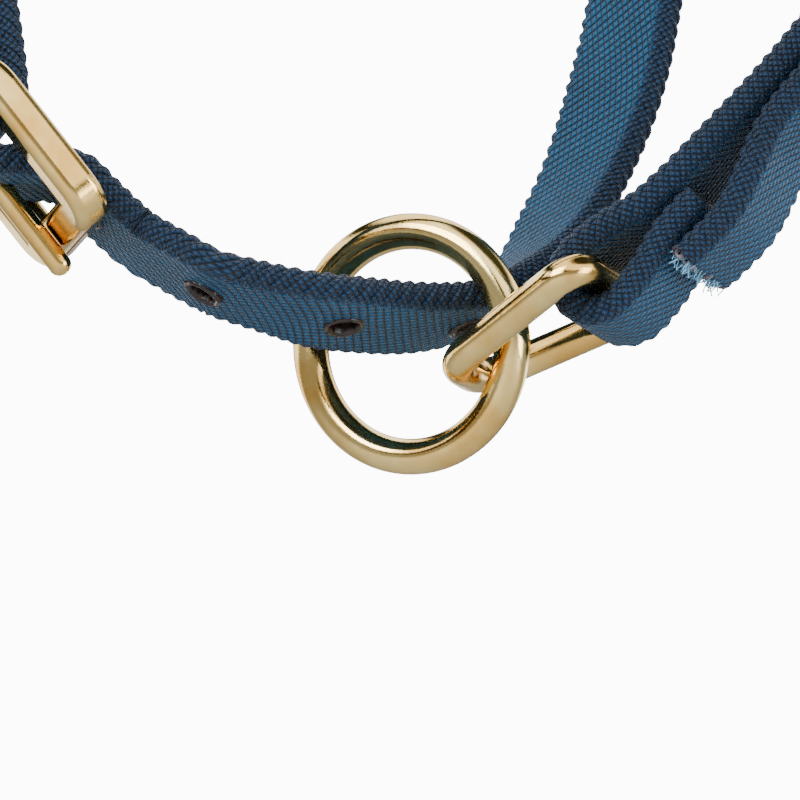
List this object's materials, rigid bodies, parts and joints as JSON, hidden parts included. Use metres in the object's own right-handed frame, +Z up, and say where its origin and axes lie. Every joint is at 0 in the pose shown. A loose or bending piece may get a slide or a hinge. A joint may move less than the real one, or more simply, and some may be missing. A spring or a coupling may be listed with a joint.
{
  "type": "head halter",
  "caption": "Webbing head halter: a buckled nose loop and a buckled neck loop joined under the chin by a ring, a wire link and a doubled throat strap.",
  "frame": {"origin": "centre of the nose loop's opening, where the muzzle sits", "axes": "+Z up, +X from the nose towards the neck, +Y to the far side, away from the buckles"},
  "size_m": [0.1457, 0.1284, 0.1887],
  "materials": {
    "webbing": "woven",
    "thread": "twisted",
    "plated_brass": "polished"
  },
  "bodies": {
    "halter": {"nose_strap": "webbing", "nose_keeper": "webbing", "nose_stitching": "thread", "neck_strap": "webbing", "neck_keeper": "webbing", "neck_stitching": "thread", "throat_strap": "webbing", "throat_cover": "webbing", "throat_stitching": "thread", "joint_stitching": "thread"},
    "ring": {"chin_ring": "plated_brass"},
    "link": {"throat_link": "plated_brass"},
    "nose_frame": {"nose_buckle_frame": "plated_brass"},
    "nose_tongue": {"nose_buckle_tongue": "plated_brass"},
    "neck_frame": {"neck_buckle_frame": "plated_brass"},
    "neck_tongue": {"neck_buckle_tongue": "plated_brass"}
  },
  "joints": [
    {"name": "ring_turn", "type": "hinge", "parent": "halter", "child": "ring", "pos_m": [0.006, 0.014, -0.045], "axis": [0.3402, -0.8805, -0.3302], "continuous": true},
    {"name": "link_swing", "type": "hinge", "parent": "halter", "child": "link", "pos_m": [0.0278, 0.0242, -0.0425], "axis": [0.4723, -0.8671, -0.1584], "range_deg": [-10, 1.5]},
    {"name": "nose_frame_lift", "type": "hinge", "parent": "halter", "child": "nose_frame", "pos_m": [-0.0109, -0.0343, -0.0238], "axis": [-0.8955, 0.4133, 0.1651], "range_deg": [0, 6]},
    {"name": "nose_tongue_lift", "type": "hinge", "parent": "nose_frame", "child": "nose_tongue", "pos_m": [-0.0109, -0.0343, -0.0238], "axis": [-0.8955, 0.4133, 0.1651], "range_deg": [0, 6]},
    {"name": "neck_frame_lift", "type": "hinge", "parent": "halter", "child": "neck_frame", "pos_m": [0.11075, -0.02871, 0.05402], "axis": [-0.9724, -0.1985, 0.1228], "range_deg": [0, 6]},
    {"name": "neck_tongue_lift", "type": "hinge", "parent": "neck_frame", "child": "neck_tongue", "pos_m": [0.11075, -0.02871, 0.05402], "axis": [-0.9724, -0.1985, 0.1228], "range_deg": [0, 6]}
  ]
}
